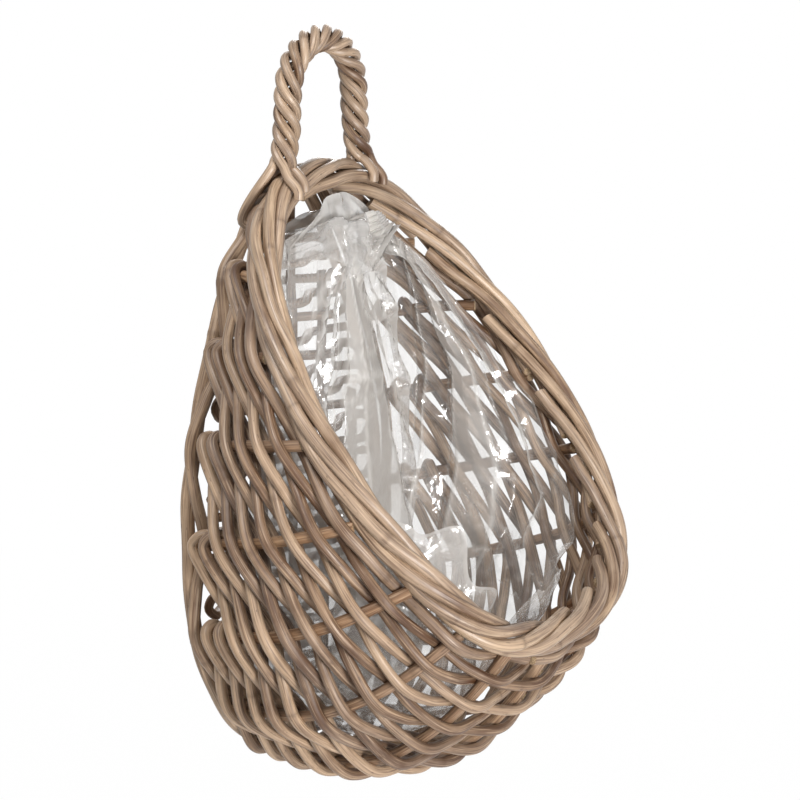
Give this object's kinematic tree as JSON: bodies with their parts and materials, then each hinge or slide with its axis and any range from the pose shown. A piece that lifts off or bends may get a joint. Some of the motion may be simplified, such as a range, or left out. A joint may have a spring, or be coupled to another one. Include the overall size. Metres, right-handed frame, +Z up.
{
  "type": "hanging planter basket",
  "caption": "Pear-shaped wall basket woven from round grey-brown rattan rods, with a flat back, slanted mouth, rolled border, twisted loop handle and a clear film liner for a plant",
  "frame": {"origin": "the point where a wall hook bears, inside the top of the loop handle", "axes": "+Z up, +X to the basket's right hand seen from the front, +Y towards the wall behind it; the mouth looks along -Y"},
  "size_m": [0.2878, 0.2297, 0.4814],
  "materials": {
    "rattan_frame": "matt weathered rattan",
    "rattan_back": "matt weathered rattan",
    "rattan_stake": "matt weathered rattan",
    "rattan_weaver": "satin grey-brown rattan with its skin",
    "rattan_border": "satin pale grey-brown rattan with its skin",
    "rattan_handle": "satin grey-brown rattan with its skin",
    "clear_film": "thin clear crinkled film"
  },
  "bodies": {
    "root": {"back_hoop": "rattan_frame", "back_stick_1": "rattan_frame", "back_stick_2": "rattan_frame", "back_stick_3": "rattan_frame", "back_stick_4": "rattan_frame", "back_stick_5": "rattan_frame", "back_weaver_1": "rattan_back", "back_weaver_2": "rattan_back", "back_weaver_3": "rattan_back", "back_weaver_4": "rattan_back", "side_stake_01": "rattan_stake", "side_stake_02": "rattan_stake", "side_stake_03": "rattan_stake", "side_stake_04": "rattan_stake", "side_stake_05": "rattan_stake", "side_stake_06": "rattan_stake", "side_stake_07": "rattan_stake", "side_stake_08": "rattan_stake", "side_stake_09": "rattan_stake", "side_stake_10": "rattan_stake", "side_stake_11": "rattan_stake", "side_stake_12": "rattan_stake", "side_stake_13": "rattan_stake", "side_stake_14": "rattan_stake", "side_stake_15": "rattan_stake", "wall_weaver_hoop": "rattan_weaver", "wall_weaver_border": "rattan_weaver", "packing_rod_hoop_1": "rattan_weaver", "packing_rod_hoop_2": "rattan_weaver", "packing_rod_hoop_3": "rattan_weaver", "packing_rod_hoop_4": "rattan_weaver", "packing_rod_hoop_5": "rattan_weaver", "packing_rod_border_1": "rattan_weaver", "packing_rod_border_2": "rattan_weaver", "packing_rod_border_3": "rattan_weaver", "packing_rod_border_4": "rattan_weaver", "packing_rod_border_5": "rattan_weaver", "border_rod_1": "rattan_border", "border_rod_2": "rattan_border", "border_rod_3": "rattan_border", "border_rod_4": "rattan_border", "handle_strand_1": "rattan_handle", "handle_strand_2": "rattan_handle", "handle_strand_3": "rattan_handle", "handle_strand_4": "rattan_handle", "liner": "clear_film"}
  },
  "joints": []
}
